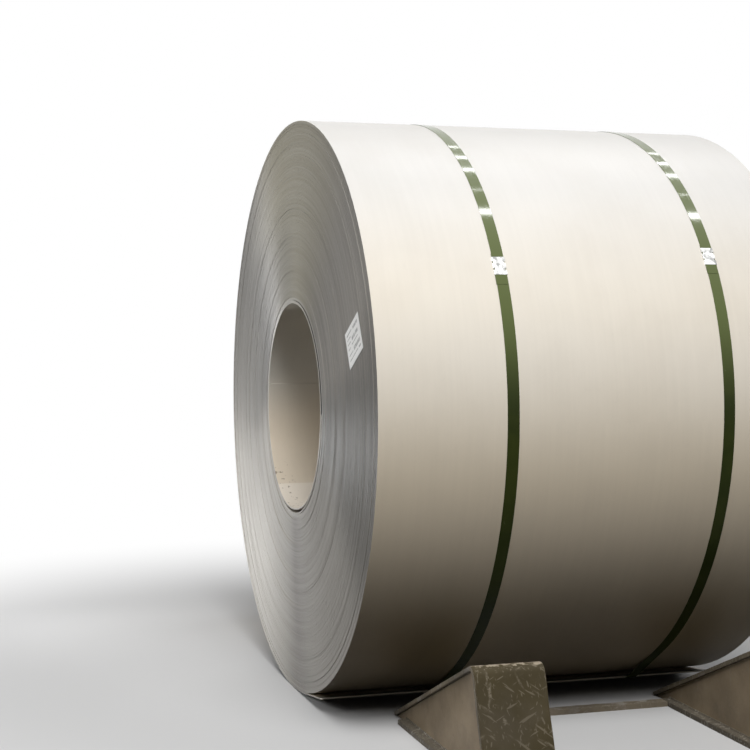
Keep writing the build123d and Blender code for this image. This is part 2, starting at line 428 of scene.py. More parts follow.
@dataclass(frozen=True)
class StripFace(Finish):
    """Satin rolled face of the strip, outside and in the bore."""

    name: str = "strip_face"
    roughness: float = 0.4
    metallic: float = 0.03
    specular: float = 0.12
    colour: Colour = (0.722, 0.672, 0.588)
    clouded: Tone = Tone((0.702, 0.648, 0.560), 0.35, 0.68)
    # Painted shade and a brownish painted reflection: the barrel is darker and browner below its middle.
    lower: Tone = Tone((0.640, 0.556, 0.428), 0.24, -0.22, 0.95)
    # Dusty top, also painted greyer as a painted reflection of the white light from above.
    dust_and_sheen: Tone = Tone((0.580, 0.568, 0.548), 0.33, 0.8, 0.97)
    inside: Colour = (0.665, 0.585, 0.475)
    overhead: Tone = Tone((0.545, 0.530, 0.490), -0.35, 0.45)
    # Painted shade: the turns behind the first are nearly black where the first turn lifts off them in the
    # bore.
    gap_shade: Tone = Tone((0.012, 0.010, 0.008), 1.02, 1.08)
    # Painted light: the bore is lighter beyond a line 54 degrees below +Y.
    bore_lit_band: Tone = Tone((0.80, 0.75, 0.68), -0.925, -0.94, 0.6)
    spots: Tone = Tone((0.16, 0.12, 0.08), 0.63, 0.68, 0.75)
    dirt: Colour = (0.40, 0.36, 0.30)
    # Painted shade: all turns but the outermost are darker where their faces show between turns at the ends.
    buried_shade: Tone = Tone((0.31, 0.295, 0.262), COIL.turns - 1.0, COIL.turns - 1.1, 0.8)
    # Painted shade: darker still towards the bottom of the barrel.
    under: Tone = Tone((0.30, 0.27, 0.19), -0.5, -0.98, 0.5)
    # Painted shade: the tail under the coil is nearly black.
    loose: Tone = Tone((0.05, 0.045, 0.035), 838 * MM, 846 * MM, 0.92)
    # Painted highlight: the tail's end is painted light.
    cut: Colour = (0.80, 0.77, 0.68)

    def tail_end(self, place: Place) -> Field:
        """Mask of the bare cut that ends the tail.

        Args:
            place: Where the surface lies.

        Returns:
            A field that is 1 on the cut.
        """
        takeoff = math.radians(COIL.takeoff)
        reach = place.out * math.sin(takeoff) - place.up * math.cos(takeoff)
        return (reach > COIL.tail - 0.5 * MM) * (place.radius > COIL.radius + 7 * MM)

    def paint(self, graph: Graph) -> dict[str, Value]:
        """Rolled lines, dirt and a dusty top outside, painted light and shade, spots in the bore, painted
        highlight on the tail's cut.

        Args:
            graph: The material's graph.

        Returns:
            The shader's inputs.
        """
        place = Place(graph)
        height = place.height
        turn = graph.call("ShaderNodeAttribute", output="Fac", attribute_name="turn")
        rolled = graph.joined(place.across * 46.0, place.angle * 1.3, place.radius)
        lines = graph.noise(rolled, 1.6, 4.0, 0.6)
        clouds = graph.noise(place.vector, 2.4, 4.0)
        specks = graph.noise(place.vector, 75.0, 2.0)
        bore = place.radius.fit(COIL.bore + 30 * MM, COIL.bore + 8 * MM)
        outside = 1.0 - bore
        mouth = place.across.fit(70 * MM - COIL.width / 2, 20 * MM - COIL.width / 2)
        mouth = mouth * place.angle.fit(-0.55, -0.75) * bore
        # Painted shade and a brownish painted reflection below, a dusty top with painted reflection above.
        outer = graph.lay(self.colour, (self.clouded, clouds), (self.lower, height), (self.dust_and_sheen, height))
        colour = graph.mix(bore, outer, graph.lay(self.inside, (self.overhead, height)))
        # Painted shade between the first turns, a painted lighter band in the bore, and spots at its mouth.
        coats = (self.gap_shade, turn, bore), (self.bore_lit_band, place.angle, bore), (self.spots, specks, mouth)
        colour = graph.dim(graph.lay(colour, *coats), lines.fit(0.3, 0.75, 0.985, 1.01))
        dirt = graph.group(grime_group(), vector=place.vector, scale=5.0, amount=0.07)[0]
        # Painted shade on the inner turns' faces, the bottom of the barrel and the tail.
        coats = (self.buried_shade, turn, outside), (self.under, height, outside), (self.loose, place.radius)
        colour = graph.lay(graph.mix(dirt, colour, self.dirt), *coats)
        sheen = clouds.fit(0.3, 0.7, self.roughness - 0.04, self.roughness + 0.05)
        return {
            # Painted highlight on the tail's cut.
            "Base_Color": graph.mix(self.tail_end(place), colour, self.cut),
            "Metallic": (1.0 - outside * height.fit(0.2, -0.4)) * self.metallic,
            "Roughness": sheen + lines.fit(0.3, 0.7, -0.04, 0.04),
            "Normal": graph.bump(lines, 0.2 * MM, 0.25),
        }


# Edge tones: the lighter is a painted highlight in the sectors and rubbed wear on the innermost turns, the
# darker is painted shade.
BRIGHT_EDGE = (0.45, 0.43, 0.395)
SHADED_EDGE = (0.050, 0.049, 0.045)


@dataclass(frozen=True)
class Sector:
    """A coil end sector of painted sheen if lighter, painted shade if darker; angles in radians from +Y
    towards +Z.
    """

    colour: Colour
    middle: float
    reach: float
    share: float
    core: float = 0.0
    starts_at: float = 2.0
    full_at: float = 1.0


@dataclass(frozen=True)
class SlitEdge(Finish):
    """Slit edges of the turns, which make the coil's ends and gleam along the radius."""

    name: str = "slit_edge"
    roughness: float = 0.5
    metallic: float = 0.06
    specular: float = 0.16
    streak: float = 0.9
    light: Colour = (0.262, 0.248, 0.227)
    dark: Colour = (0.210, 0.198, 0.181)
    # Painted reflection: a brownish tint near the top of the end.
    warm_reflection: Tone = Tone((0.246, 0.222, 0.150), 0.95, 0.15, 0.85)
    warm_reflection_middle: float = math.pi / 2 - 0.1
    # Painted shade: darker and greyer towards +Y, a little above the axis.
    cool_shade: Tone = Tone((0.138, 0.134, 0.126), 0.8, 0.2, 0.8)
    cool_shade_middle: float = 0.35
    rubbed: Tone = Tone(BRIGHT_EDGE, 4.6, 4.0, 0.5)
    marks: Tone = Tone((0.16, 0.14, 0.12), 0.7, 0.76, 0.35)
    # Painted sheen where a sector is lighter, painted shade where it is darker.
    sectors: tuple[Sector, ...] = (
        Sector(SHADED_EDGE, 3.36, 0.592, 0.78, core=0.1),
        Sector(BRIGHT_EDGE, 4.05, 0.68, 0.78),
        Sector(BRIGHT_EDGE, 5.28, 0.62, 0.66),
        Sector(BRIGHT_EDGE, 5.90, 0.35, 0.22),
        Sector(SHADED_EDGE, 1.0, 0.6, 0.36, starts_at=0.665, full_at=0.455),
        Sector(SHADED_EDGE, 0.45, 0.38, 0.32, starts_at=0.50, full_at=0.35),
        Sector(BRIGHT_EDGE, -0.28, 0.42, 0.42, starts_at=0.47, full_at=0.36),
    )

    def paint(self, graph: Graph) -> dict[str, Value]:
        """A tone for each turn, soft sectors of painted sheen and shade round the end, and small marks.

        Args:
            graph: The material's graph.

        Returns:
            The shader's inputs.
        """
        place = Place(graph)
        turn = graph.call("ShaderNodeAttribute", output="Fac", attribute_name="turn")
        fine, broad = graph.group(turn_lines_group(), turn=turn)
        tone = fine * 0.6 + broad * 0.4
        angle = place.angle + graph.noise(place.vector, 1.1, 2.0).fit(0.3, 0.7, -0.12, 0.12)
        # Painted reflection near the top and painted shade towards +Y.
        coats = (self.warm_reflection, abs(angle - self.warm_reflection_middle)), (self.cool_shade, abs(angle - self.cool_shade_middle))
        colour = graph.lay(graph.mix(tone, self.dark, self.light), *coats)
        for sector in self.sectors:
            limits = Tone(sector.colour, math.cos(sector.reach), math.cos(sector.core), sector.share)
            ring = place.radius.fit(sector.starts_at, sector.full_at)
            colour = graph.lay(colour, (limits, (angle - sector.middle).cosine(), ring))
        # Painted shade: the end darkens towards the bore.
        colour = graph.dim(colour, place.radius.fit(COIL.bore, COIL.bore + 0.45, 0.82, 1.0))
        radial = graph.joined(0.0, place.out, place.up)
        specks = graph.noise(place.vector, 34.0)
        return {
            "Base_Color": graph.lay(colour, (self.rubbed, turn), (self.marks, specks)),
            "Roughness": tone.fit(0.0, 1.0, self.roughness + 0.05, self.roughness - 0.05),
            "Anisotropic": self.streak,
            "Tangent": graph.call("ShaderNodeVectorMath", radial, operation="NORMALIZE"),
        }


@dataclass(frozen=True)
class StrapPaint(Finish):
    """Dark green gloss paint on the straps."""

    name: str = "strap_paint"
    roughness: float = 0.4
    specular: float = 0.08
    coat_roughness: float = 0.09
    green: Colour = (0.018, 0.025, 0.003)
    clouded: Tone = Tone((0.028, 0.036, 0.006), 0.35, 0.65)
    # Dusty on top, also painted lighter there as a painted sheen of the light from above.
    dust_and_sheen: Tone = Tone((0.080, 0.102, 0.024), 0.02, 0.36)
    scuffed: Colour = (0.30, 0.33, 0.22)

    def paint(self, graph: Graph) -> dict[str, Value]:
        """Green that varies a little, dusty with a painted sheen on top, and worn specks at random.

        Args:
            graph: The material's graph.

        Returns:
            The shader's inputs.
        """
        place = Place(graph)
        clouds = graph.noise(place.vector, 9.0)
        colour = graph.lay(self.green, (self.clouded, clouds), (self.dust_and_sheen, place.height))
        look = {"patch_scale": 55.0, "line_scale": 60.0, "amount": 0.2}
        patches = graph.group(scuffs_group(), vector=place.vector, **look)[0]
        return {
            "Base_Color": graph.mix(patches * 0.2, colour, self.scuffed),
            "Roughness": clouds.fit(0.3, 0.7, self.roughness - 0.03, self.roughness + 0.06),
            "Coat_Weight": place.height.fit(-0.1, 0.6),
            "Coat_Roughness": self.coat_roughness,
        }


@dataclass(frozen=True)
class SealZinc(Finish):
    """Bright zinc plate on the seals."""

    name: str = "seal_zinc"
    roughness: float = 0.3
    metallic: float = 0.9
    dull: Colour = (0.40, 0.40, 0.39)
    bright: Tone = Tone((0.86, 0.86, 0.85), 0.35, 0.65)

    def paint(self, graph: Graph) -> dict[str, Value]:
        """Mottled zinc with rubbed patches.

        Args:
            graph: The material's graph.

        Returns:
            The shader's inputs.
        """
        mottle = graph.noise(Place(graph).vector, 85.0, 2.0)
        return {
            "Base_Color": graph.lay(self.dull, (self.bright, mottle)),
            "Roughness": mottle.fit(0.3, 0.7, self.roughness - 0.02, self.roughness + 0.2),
            "Normal": graph.bump(mottle, 1.2 * MM, 0.6),
        }


@dataclass(frozen=True)
class LabelPaper(Finish):
    """White paper of the label with plain grey bars printed on it."""

    name: str = "label_paper"
    roughness: float = 0.7
    paper: Colour = (0.84, 0.84, 0.82)
    ink: Colour = (0.36, 0.36, 0.35)
    # Left, right, low and high edge of each bar, as shares of the label.
    bars: tuple[tuple[float, float, float, float], ...] = (
        (0.10, 0.46, 0.84, 0.88), (0.54, 0.88, 0.80, 0.88), (0.10, 0.34, 0.72, 0.75),
        (0.40, 0.62, 0.58, 0.68), (0.66, 0.84, 0.58, 0.68), (0.10, 0.30, 0.60, 0.63),
        (0.36, 0.80, 0.48, 0.51), (0.10, 0.26, 0.46, 0.49), (0.44, 0.90, 0.28, 0.38),
        (0.10, 0.38, 0.30, 0.33), (0.10, 0.70, 0.16, 0.19), (0.76, 0.90, 0.14, 0.20),
    )

    def paint(self, graph: Graph) -> dict[str, Value]:
        """Bars placed on the label's own map, with slightly ragged ink.

        Args:
            graph: The material's graph.

        Returns:
            The shader's inputs.
        """
        x, y, _ = graph.call("ShaderNodeUVMap", uv_map="label_map").parts()
        bars = [(x > left) * (x < right) * (y > low) * (y < high) for left, right, low, high in self.bars]
        ragged = graph.noise(Place(graph).vector, 220.0, 2.0).fit(0.32, 0.5, 0.25, 1.0)
        return {"Base_Color": graph.mix(reduce(Field.most, bars) * ragged, self.paper, self.ink)}


@dataclass(frozen=True)
class WornSteel(Finish):
    """Worn steel of the chocks, in a plain colour with scuffs and dirt."""

    name: str = "worn_steel"
    roughness: float = 0.62
    rubbed_roughness: float = 0.38
    metallic: float = 0.12
    specular: float = 0.2
    base: Colour = (0.30, 0.26, 0.21)
    worn: Colour = (0.50, 0.46, 0.40)
    dirt: Colour = (0.10, 0.085, 0.065)
    scuff: float = 0.5
    scratch: float = 0.7
    ridge_wear: float = 0.0
    ridge: Point2 = (268 * MM, 270.5 * MM)
    grime: float = 0.5

    def paint(self, graph: Graph) -> dict[str, Value]:
        """Base colour in clouds, rubbed patches and scratches, dirt on top.

        Args:
            graph: The material's graph.

        Returns:
            The shader's inputs.
        """
        place = Place(graph)
        where = place.vector
        colour = graph.dim(self.base, graph.noise(where, 5.0, 4.0).fit(0.3, 0.7, 0.82, 1.12))
        look = {"patch_scale": 16.0, "line_scale": 55.0, "amount": self.scuff}
        patches, lines = graph.group(scuffs_group(), vector=where, **look)
        ragged = graph.noise(where, 55.0).fit(0.3, 0.7, -2.5 * MM, 2.5 * MM)
        ridge = (place.up + COIL.axis_height + ragged).fit(*self.ridge)
        rubbed = (patches * 0.8).most(lines * self.scratch).most(ridge * self.ridge_wear)
        dirt = graph.group(grime_group(), vector=where, scale=8.0, amount=self.grime)[0]
        return {
            "Base_Color": graph.mix(dirt, graph.mix(rubbed, colour, self.worn), self.dirt),
            "Roughness": rubbed.fit(0.0, 1.0, self.roughness, self.rubbed_roughness),
            "Normal": graph.bump(graph.noise(where, 90.0, 4.0), 0.6 * MM, 0.5),
        }


class Steel(Enum):
    """Finishes that a chock is made with."""

    END_PLATE = WornSteel("chock_end_plate", base=(0.315, 0.248, 0.168), scuff=0.1, scratch=0.12, grime=0.35)
    BENT_PLATE = WornSteel(
        "chock_bent_plate", base=(0.055, 0.043, 0.021), worn=(0.44, 0.38, 0.29),
        scuff=0.2, scratch=0.36, ridge_wear=0.8, grime=0.3,
    )
    PLATE_EDGE = WornSteel("chock_plate_edge", base=(0.22, 0.185, 0.135), scuff=0.7, grime=0.8)
    RUNNER = WornSteel("chock_runner", base=(0.12, 0.105, 0.08), scuff=0.5, grime=0.6)


# Meshes


def new_object(name: str, data: ID) -> Object:
    """Put a mesh, light or camera in the scene as an object at the origin.

    Args:
        name: The object's name.
        data: What it shows.

    Returns:
        The object.
    """
    thing = bpy.data.objects.new(name, data)
    bpy.context.scene.collection.objects.link(thing)
    return thing


def solid(name: str, shape: Shape, material: Material, bevel: float = 0.0) -> Object:
    """Object from points and faces, normals turned outwards.

    Args:
        name: The object's name.
        shape: Vertex places, and vertex numbers of each face.
        material: Its material.
        bevel: Width of the rounding of its sharp edges.

    Returns:
        The object.
    """
    points, faces = shape
    mesh = bpy.data.meshes.new(name)
    mesh.from_pydata([tuple(point) for point in points], [], faces)
    mesh.materials.append(material)
    work = bmesh.new()
    work.from_mesh(mesh)
    bmesh.ops.remove_doubles(work, verts=work.verts, dist=1e-6)
    bmesh.ops.recalc_face_normals(work, faces=work.faces)
    if bevel:
        sharp = [edge for edge in work.edges if edge.calc_face_angle() > math.radians(30)]
        bmesh.ops.bevel(work, geom=sharp, offset=bevel, segments=2, affect="EDGES", clamp_overlap=True)
    work.to_mesh(mesh)
    work.free()
    return new_object(name, mesh)


def loft(rings: Sequence[Sequence], capped: bool = True) -> Shape:
    """Skin over rings of equally many points.

    Args:
        rings: The rings in order.
        capped: Whether a face closes each end.

    Returns:
        Vertex places and faces.
    """
    count = len(rings[0])
    points = [point for ring in rings for point in ring]
    faces = []
    for start in range(0, len(points) - count, count):
        for i in range(count):
            k = (i + 1) % count
            faces.append((start + i, start + k, start + count + k, start + count + i))
    if capped:
        last = len(points) - count
        faces += [tuple(range(count)), tuple(range(last, len(points)))[::-1]]
    return points, faces


def stand_for(piece: Object, node: str, smooth: float = 0.0) -> Object:
    """Let a piece ride on the body in place of a node.

    Args:
        piece: The built piece.
        node: The node that it stands for.
        smooth: Angle in degrees up to which its edges are shaded smooth.

    Returns:
        The piece.
    """
    if smooth:
        piece.data.shade_smooth()
        piece.data.set_sharp_from_angle(angle=math.radians(smooth))
    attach(piece, "root")
    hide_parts(node)
    return piece


def run_tree(name: str, tree: NodeTree, start: Mesh | None = None, **inputs: Value) -> Object:
    """Run a geometry tree on an object and keep the result as a plain mesh.

    Args:
        name: Name of the new object.
        tree: The geometry tree.
        start: Mesh that the tree starts from, if any.
        inputs: Values by input name.

    Returns:
        The object with the evaluated mesh.
    """
    maker = new_object(name + "_maker", start or bpy.data.meshes.new(name + "_start"))
    modifier = maker.modifiers.new("maker", "NODES")
    modifier.node_group = tree
    keys = {item.name: item.identifier for item in tree.interface.items_tree if item.in_out == "INPUT"}
    for key, value in inputs.items():
        modifier[keys[title(key)]] = value
    graph = bpy.context.evaluated_depsgraph_get()
    evaluated = maker.evaluated_get(graph)
    mesh = bpy.data.meshes.new_from_object(evaluated, preserve_all_data_layers=True, depsgraph=graph)
    mesh.name = name
    maker.modifiers.remove(modifier)
    bpy.data.objects.remove(maker)
    return new_object(name, mesh)


def join_into(target: Object, *others: Object) -> None:
    """Join meshes into one, each closed part turned outwards, and drop the other objects.

    Args:
        target: The object that is kept.
        others: The objects that go into it.
    """
    work = bmesh.new()
    work.from_mesh(target.data)
    kept = target.data.materials
    for other in others:
        slots = {}
        for number, material in enumerate(other.data.materials):
            if material and material.name not in kept:
                kept.append(material)
            slots[number] = kept.find(material.name) if material else 0
        first = len(work.faces)
        work.from_mesh(other.data)
        work.faces.ensure_lookup_table()
        for face in work.faces[first:]:
            face.material_index = slots.get(face.material_index, 0)
        bpy.data.objects.remove(other)
    bmesh.ops.recalc_face_normals(work, faces=work.faces)
    work.to_mesh(target.data)
    work.free()


# Coil


def group_shift(turn: Field, turns: Field, groups: Sequence[Point2]) -> Value:
    """How far the group that a turn belongs to stands back.

    Args:
        turn: Number of the turn.
        turns: Number of turns in all.
        groups: Share of the turns in each group and how far it stands back.

    Returns:
        The shift along the coil, which changes over a third of a turn between groups.
    """
    total = sum(share for share, _ in groups)
    passed, shift = 0.0, groups[0][1]
    for (share, before), (_, after) in zip(groups, groups[1:]):
        passed += share
        edge = turns * (passed / total)
        shift = shift + turn.fit(edge, edge + 0.35, 0.0, after - before)
    return shift


def wound_strip_tree(groups: Sequence[Point2]) -> NodeTree:
    """Geometry tree that winds one strip into a coil with a straight tail.

    Each row of the grid is a ring of seven corners round the strip's section, the last on the first:
    three along its front edge, from the inner face over the crown to the outer face, then three back
    along its rear edge.

    Args:
        groups: Share of the turns in each group and how far it stands back at the front, in metres.

    Returns:
        The tree.
    """
    sizes = (
        "bore", "thickness", "pitch", "turns", "width", "spread", "wander", "crown", "start_angle",
        "axis_height", "tail_length", "inner_lift", "seed",
    )
    sockets = dict.fromkeys(sizes, "Float") | dict.fromkeys(("steps_per_turn", "tail_steps"), "Int")
    sockets |= {"face": "Material", "edge": "Material"}
    graph, size, wanted = group_tree("Wound Strip", ("Geometry",), **sockets)
    corners = 7
    wound = (size.turns * size.steps_per_turn).round()
    rows = wound + size.tail_steps + 3
    index = graph.call("GeometryNodeInputIndex")
    row = ((index + 0.5) / corners).floor()
    corner = (index - row * corners) % (corners - 1)
    last = rows - 1
    open_size = 1 - (row < 0.5).most(row > last - 0.5)
    step = (row - 1).most(0).least(last - 2)
    turned = step.least(wound)
    turn = turned / wound * size.turns
    run = (step - turned) / size.tail_steps * size.tail_length

    # At the bottom of the bore the first turn bulges inwards over a quarter of its length.
    lift = turn.fit(0.172, 0.30) * turn.fit(0.41, 0.30) * size.inner_lift
    angle = size.start_angle - turn * math.tau
    radius = size.bore + size.thickness * 0.5 + turn * size.pitch - lift

    drift = graph.noise_along(turn + size.seed, 1.6, 1.0).fit(0.25, 0.75) * size.wander
    shift = group_shift(turn, size.turns, groups) + drift * (size.turns - turn).fit(0.0, 1.5)
    spread = size.spread + size.wander
    reach = (size.width - spread) * 0.5 - (1 - (corner % 3).near(1, 0.1)) * size.crown
    sign = 1 - (corner < 2.5) * 2
    thicker = corner.near(2.5, 0.6) - (corner < 0.5).most(corner > 4.5)
    out = radius + thicker * (size.thickness * 0.5) * open_size
    cosine, sine = angle.cosine(), angle.sine()
    along = shift - spread * 0.5 + reach * sign * open_size
    place = graph.joined(along, out * cosine + run * sine, out * sine - run * cosine + size.axis_height)

    grid = graph.call("GeometryNodeMeshGrid", Vertices_X=rows, Vertices_Y=corners)
    storing = {"data_type": "FLOAT", "domain": "POINT", "Geometry": grid, "Name": "turn", "Value": turn}
    marked = graph.call("GeometryNodeStoreNamedAttribute", **storing)
    strip = graph.call("GeometryNodeSetPosition", Geometry=marked, Position=place)
    closed = graph.call("GeometryNodeMergeByDistance", Geometry=strip, Distance=1e-5)
    facing = graph.call("GeometryNodeInputNormal").parts()[0]
    is_edge = graph.call("FunctionNodeCompare", abs(facing), 0.5, operation="GREATER_THAN")
    real = graph.call("GeometryNodeRealizeInstances", closed)
    faced = graph.call("GeometryNodeSetMaterial", Geometry=real, Material=size.face)
    edged = graph.call("GeometryNodeSetMaterial", Geometry=faced, Selection=is_edge, Material=size.edge)
    graph.feed(wanted, edged)
    return graph.tree


@dataclass
class WoundCoil:
    """The coil: one strip wound on itself, its turns wandering sideways, and its loose outer end."""

    gauge: float = 3.93 * MM
    crown: float = 0.3 * MM
    wander: float = 0.65 * MM
    steps: int = 108
    tail_steps: int = 4
    inner_lift: float = 9.0 * MM
    seed: float = 4.0
    smooth: float = 9.0
    # Share of the turns in each group from the bore outwards, and how far it stands back in millimetres.
    groups: tuple[Point2, ...] = (
        (0.015, 0.3), (0.025, 2.6), (0.060, 1.0), (0.080, 1.9), (0.100, 0.8), (0.090, 1.5), (0.080, 0.5),
        (0.075, 1.1), (0.290, 0.0), (0.065, 0.9), (0.055, 0.2), (0.045, 1.2), (0.020, 0.4),
    )

    def build(self) -> Object:
        """Wind the strip.

        Returns:
            The coil as one closed mesh.
        """
        groups = [(share, setback * MM) for share, setback in self.groups]
        coil = run_tree(
            "coil_wound", wound_strip_tree(groups), bore=COIL.bore, thickness=self.gauge, pitch=COIL.pitch,
            turns=COIL.turns, width=COIL.width, spread=max(setback for _, setback in groups),
            wander=self.wander, crown=self.crown, start_angle=math.radians(COIL.inner_end),
            axis_height=COIL.axis_height, tail_length=COIL.tail, inner_lift=self.inner_lift,
            steps_per_turn=self.steps, tail_steps=self.tail_steps, seed=self.seed,
            face=StripFace().build(), edge=SlitEdge().build(),
        )
        work = bmesh.new()
        work.from_mesh(coil.data)
        if work.calc_volume(signed=True) < 0:
            coil.data.flip_normals()
        work.free()
        return stand_for(coil, "coil", self.smooth)


# Straps and seals


def path_mesh(name: str, path: Path, closed: bool = False) -> Mesh:
    """Path for the band or weld tree.

    Args:
        name: The mesh's name.
        path: Point and outward direction of each station in order.
        closed: Whether the last point joins the first.

    Returns:
        A mesh of edges with the attribute outward.
    """
    count = len(path)
    edges = [(i, (i + 1) % count) for i in range(count if closed else count - 1)]
    mesh = bpy.data.meshes.new(name)
    mesh.from_pydata([tuple(point) for point, _ in path], edges, [])
    layer = mesh.attributes.new("outward", "FLOAT_VECTOR", "POINT")
    for item, (_, outward) in zip(layer.data, path):
        item.vector = outward
    return mesh


@cache
def band_tree() -> NodeTree:
    """Geometry tree that runs a flat band with rounded edges along a path.

    Returns:
        The tree. Its start mesh is the path, with the attribute outward on its points.
    """
    sockets = {"path": "Geometry", "width": "Float", "thickness": "Float", "material": "Material"}
    graph, size, wanted = group_tree("Flat Band", ("Geometry",), **sockets)
    path = graph.call("GeometryNodeMeshToCurve", size.path)
    outward = graph.call("GeometryNodeInputNamedAttribute", data_type="FLOAT_VECTOR", Name="outward")
    path = graph.call("GeometryNodeSetCurveNormal", mode="FREE", Curve=path, Normal=outward)
    sides = {"Width": size.thickness, "Height": size.width}
    section = graph.call("GeometryNodeCurvePrimitiveQuadrilateral", mode="RECTANGLE", **sides)
    rounding = {"Radius": size.thickness * 0.35, "Count": 1}
    section = graph.call("GeometryNodeFilletCurve", section, mode="POLY", **rounding)
    skin = {"Curve": path, "Profile_Curve": section, "Fill_Caps": True}
    real = graph.call("GeometryNodeRealizeInstances", graph.call("GeometryNodeCurveToMesh", **skin))
    graph.feed(wanted, graph.call("GeometryNodeSetMaterial", Geometry=real, Material=size.material))
    return graph.tree


@dataclass
class Strap:
    """A steel strap drawn round the coil and over the end of its tail."""

    row: Row
    x: float
    seal_angle: float
    width: float = 32 * MM
    thickness: float = COIL.strap
    clearance: float = 0.03 * MM
    seal_length: float = 51 * MM
    below: float = 27 * MM
    above: float = 10 * MM
    shift: float = 1.5 * MM
    step: float = 2.5
    slack_start: float = 12.0
    end_steps: int = 8
    end_lift: float = 1.5
    tip_lift: float = 1.45

    def spot(self, x: float, angle: float, lift: float) -> tuple[Vector, Vector]:
        """Point at a lift over the coil's surface, and the direction outwards there."""
        return Vector((x, *end_point(COIL.surface(angle + 1e-6) + lift, angle))), outwards(angle)

    def loop(self) -> Path:
        """Middle line of the strap, round the coil from the tail's far side and back over its corner.

        Returns:
            Its path.
        """
        reach = math.hypot(COIL.radius, COIL.tail)
        corner = COIL.takeoff - math.degrees(math.atan2(COIL.tail, COIL.radius))
        leave = corner - math.degrees(math.acos(COIL.surface(corner - self.slack_start) / reach))
        touch = COIL.takeoff - 360
        lift = self.thickness * 0.5 + self.clearance
        angles = spaced(leave, touch, round((leave - touch) / self.step))
        path = [self.spot(self.x, angle, lift) for angle in angles]
        over = outwards((leave + COIL.takeoff) / 2)
        return path + [(Vector((self.x, *end_point(reach, corner))) + over * lift, over)]

    def free_end(self) -> Path:
        """Middle line of the strap's end that lies over it, from below the seal to just above it.

        Returns:
            Its path.
        """
        middle, half = 180 - self.seal_angle, self.seal_length / 2
        low = middle + math.degrees((half + self.below) / COIL.radius)
        high = middle - math.degrees((half + self.above) / COIL.radius)
        lifts = [self.end_lift] * (self.end_steps - 1) + [self.tip_lift] * 2
        stations = zip(spaced(low, high, self.end_steps), lifts)
        return [self.spot(self.x - self.shift, angle, self.thickness * lift) for angle, lift in stations]

    def build(self) -> Object:
        """Make both layers and join them.

        Returns:
            The strap as one object.
        """
        node = f"strap_{self.row.value}"
        inputs = {"width": self.width, "thickness": self.thickness, "material": StrapPaint().build()}
        loop = path_mesh(node + "_path", self.loop(), closed=True)
        end = path_mesh(node + "_end_path", self.free_end())
        band = run_tree(node + "_band", band_tree(), loop, **inputs)
        join_into(band, run_tree(node + "_end", band_tree(), end, **inputs))
        return stand_for(band, node, 30)


@dataclass
class Seal:
    """A seal folded over both layers of its strap and crimped twice."""

    row: Row
    x: float
    angle: float
    length: float = 51 * MM
    inner_width: float = 33.9 * MM
    sheet: float = 1.0 * MM
    stack: float = 1.8 * MM
    shoulder: float = 0.9 * MM
    clearance: float = 0.02 * MM
    crimp_depth: float = 4.2 * MM
    crimp_width: float = 6.0 * MM
    crimp_sink: float = 0.5 * MM
    flat: float = 4 * MM
    dips: Point2 = (0.12 * MM, 0.15 * MM)
    rows: int = 34

    def section(self, along: float) -> list[Point2]:
        """Closed line of the seal's sheet across the strap at a distance from the seal's middle.

        Args:
            along: The distance. The crimps lie a fifth of the length to each side of the middle.

        Returns:
            Offset across the strap and height above the coil, over the top and back inside the sheet.
        """
        from_crimp = (abs(along) - self.length / 5) / (self.crimp_width / 2)
        push = max(0.0, 1 - from_crimp ** 4)
        edge = self.inner_width / 2 + self.sheet - push * self.crimp_depth
        top = self.stack + self.sheet - push * self.crimp_sink
        round_off = self.shoulder * 0.3
        half = [
            (edge, 0.0), (edge, top * 0.55), (edge - round_off, top - round_off),
            (edge - self.shoulder, top), (edge - self.flat, top), (edge * 0.45, top - self.dips[0]),
        ]
        outer = [(-across, height) for across, height in half] + [(0.0, top - self.dips[1])] + half[::-1]
        inner = []
        for across, height in outer:
            thinner = math.copysign(self.sheet, across) if abs(across) > 2 * self.sheet else 0.0
            inner.append((across - thinner, max(height - self.sheet, 0.0)))
        return outer + inner[::-1]

    def build(self) -> Object:
        """Make the seal.

        Returns:
            The seal as one closed mesh.
        """
        rings = []
        for along in spaced(-self.length / 2, self.length / 2, self.rows):
            angle = 180 - self.angle - math.degrees(along / COIL.radius)
            base = COIL.surface(angle) + self.clearance
            section = self.section(along)
            rings.append([(self.x + across, *end_point(base + up, angle)) for across, up in section])
        points, faces = loft(rings, capped=False)
        ring = len(rings[0])
        for start in (0, self.rows * ring):
            for j in range(ring // 2 - 1):
                faces.append((start + j, start + j + 1, start + ring - 2 - j, start + ring - 1 - j))
        node = f"seal_{self.row.value}"
        seal = solid(node + "_crimped", (points, faces), SealZinc().build())
        return stand_for(seal, node, 35)


# Label


@dataclass
class PaperLabel:
    """The label stuck flat on the end of the coil."""

    length: float = 127 * MM
    width: float = 101.6 * MM
    thickness: float = 0.4 * MM
    radius: float = 665 * MM
    angle: float = 18.1
    tilt: float = 28.4

    def build(self) -> Object:
        """Make the label.

        Returns:
            The label as one closed mesh.
        """
        right, upward = outwards(180 - self.tilt), outwards(90 - self.tilt)
        centre = Vector((-COIL.width / 2, *end_point(self.radius, 180 - self.angle)))
        rings = []
        for depth in (self.thickness, 0.1 * self.thickness):
            front = centre - Vector((depth, 0, 0))
            corners = ((-0.5, -0.5), (0.5, -0.5), (0.5, 0.5), (-0.5, 0.5))
            rings.append([front + right * u * self.length + upward * v * self.width for u, v in corners])
        sheet = solid("label_sheet", loft(rings), LabelPaper().build())
        layer = sheet.data.uv_layers.new(name="label_map")
        for loop in sheet.data.loops:
            offset = sheet.data.vertices[loop.vertex_index].co - centre
            place = offset.dot(right) / self.length + 0.5, offset.dot(upward) / self.width + 0.5
            layer.data[loop.index].uv = place
        return stand_for(sheet, "label")


# Chocks


